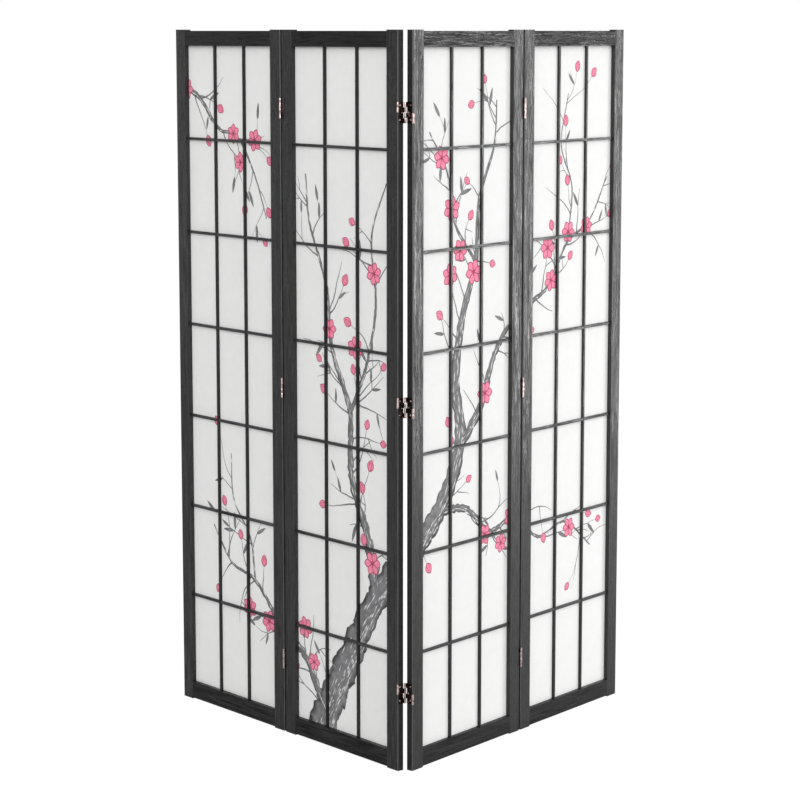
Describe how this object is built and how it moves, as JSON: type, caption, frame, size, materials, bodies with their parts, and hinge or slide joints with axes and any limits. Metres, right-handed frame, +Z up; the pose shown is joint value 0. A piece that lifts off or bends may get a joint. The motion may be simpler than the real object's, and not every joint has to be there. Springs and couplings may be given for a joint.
{
  "type": "folding screen",
  "caption": "Free-standing shoji folding screen: black wood frames with paper behind a lattice, joined by two-way hinges.",
  "frame": {"origin": "on the floor, under the middle of the standing screen's footprint", "axes": "+Z up; -Y to the front, where the middle fold stands; +X to the right seen from the front"},
  "size_m": [1.1652, 0.721, 1.78],
  "materials": {
    "black_wood": "black stain, satin, open grain",
    "shoji_paper": "matte translucent paper with a printed blossoming bough",
    "aged_brass": "dark antique brass, rubbed bright on the edges"
  },
  "bodies": {
    "panel_1": {"panel_1_left_stile": "black_wood", "panel_1_right_stile": "black_wood", "panel_1_top_rail": "black_wood", "panel_1_bottom_rail": "black_wood", "panel_1_vertical_bars": "black_wood", "panel_1_cross_bars": "black_wood", "panel_1_paper": "shoji_paper", "panel_1_back_beads": "black_wood", "fold_1_left_leaves": "aged_brass", "fold_1_left_pins": "aged_brass"},
    "panel_2": {"panel_2_left_stile": "black_wood", "panel_2_right_stile": "black_wood", "panel_2_top_rail": "black_wood", "panel_2_bottom_rail": "black_wood", "panel_2_vertical_bars": "black_wood", "panel_2_cross_bars": "black_wood", "panel_2_paper": "shoji_paper", "panel_2_back_beads": "black_wood", "fold_1_right_leaves": "aged_brass", "fold_1_right_pins": "aged_brass", "fold_2_left_leaves": "aged_brass", "fold_2_left_pins": "aged_brass"},
    "panel_3": {"panel_3_left_stile": "black_wood", "panel_3_right_stile": "black_wood", "panel_3_top_rail": "black_wood", "panel_3_bottom_rail": "black_wood", "panel_3_vertical_bars": "black_wood", "panel_3_cross_bars": "black_wood", "panel_3_paper": "shoji_paper", "panel_3_back_beads": "black_wood", "fold_2_right_leaves": "aged_brass", "fold_2_right_pins": "aged_brass", "fold_3_left_leaves": "aged_brass", "fold_3_left_pins": "aged_brass"},
    "panel_4": {"panel_4_left_stile": "black_wood", "panel_4_right_stile": "black_wood", "panel_4_top_rail": "black_wood", "panel_4_bottom_rail": "black_wood", "panel_4_vertical_bars": "black_wood", "panel_4_cross_bars": "black_wood", "panel_4_paper": "shoji_paper", "panel_4_back_beads": "black_wood", "fold_3_right_leaves": "aged_brass", "fold_3_right_pins": "aged_brass"},
    "upper_link_1": {"fold_1_upper_links": "aged_brass"},
    "lower_link_1": {"fold_1_lower_links": "aged_brass"},
    "upper_link_2": {"fold_2_upper_links": "aged_brass"},
    "lower_link_2": {"fold_2_lower_links": "aged_brass"},
    "upper_link_3": {"fold_3_upper_links": "aged_brass"},
    "lower_link_3": {"fold_3_lower_links": "aged_brass"}
  },
  "joints": [
    {"name": "rear_fold_1", "type": "hinge", "parent": "panel_2", "child": "upper_link_1", "pos_m": [-0.27886, 0.00136, 0.89], "axis": [0, 0, 1], "range_deg": [-145, 0]},
    {"name": "front_fold_1", "type": "hinge", "parent": "upper_link_1", "child": "panel_1", "pos_m": [-0.29658, -0.01362, 0.89], "axis": [0, 0, 1], "range_deg": [0, 180]},
    {"name": "link_fold_1", "type": "hinge", "parent": "panel_2", "child": "lower_link_1", "pos_m": [-0.29658, -0.01362, 0.89], "axis": [0, 0, 1], "range_deg": [0, 180]},
    {"name": "front_fold_2", "type": "hinge", "parent": "panel_2", "child": "upper_link_2", "pos_m": [-0.00581, -0.35771, 0.89], "axis": [0, 0, 1], "range_deg": [-177, 0]},
    {"name": "rear_fold_2", "type": "hinge", "parent": "upper_link_2", "child": "panel_3", "pos_m": [0.01192, -0.34273, 0.89], "axis": [0, 0, 1], "range_deg": [-101.6, 75.4]},
    {"name": "link_fold_2", "type": "hinge", "parent": "panel_3", "child": "lower_link_2", "pos_m": [0.03015, -0.35708, 0.89], "axis": [0, 0, 1], "range_deg": [0, 177]},
    {"name": "front_fold_3", "type": "hinge", "parent": "panel_3", "child": "upper_link_3", "pos_m": [0.30874, -0.00305, 0.89], "axis": [0, 0, -1], "range_deg": [0, 180]},
    {"name": "rear_fold_3", "type": "hinge", "parent": "upper_link_3", "child": "panel_4", "pos_m": [0.29051, 0.01129, 0.89], "axis": [0, 0, -1], "range_deg": [-145, 0]},
    {"name": "link_fold_3", "type": "hinge", "parent": "panel_4", "child": "lower_link_3", "pos_m": [0.30874, -0.00305, 0.89], "axis": [0, 0, -1], "range_deg": [-180, 0]}
  ],
  "couplings": [
    {"joint": "link_fold_1", "follows": "front_fold_1", "ratio": 1},
    {"joint": "link_fold_2", "follows": "front_fold_2", "ratio": -1},
    {"joint": "link_fold_3", "follows": "front_fold_3", "ratio": -1}
  ]
}
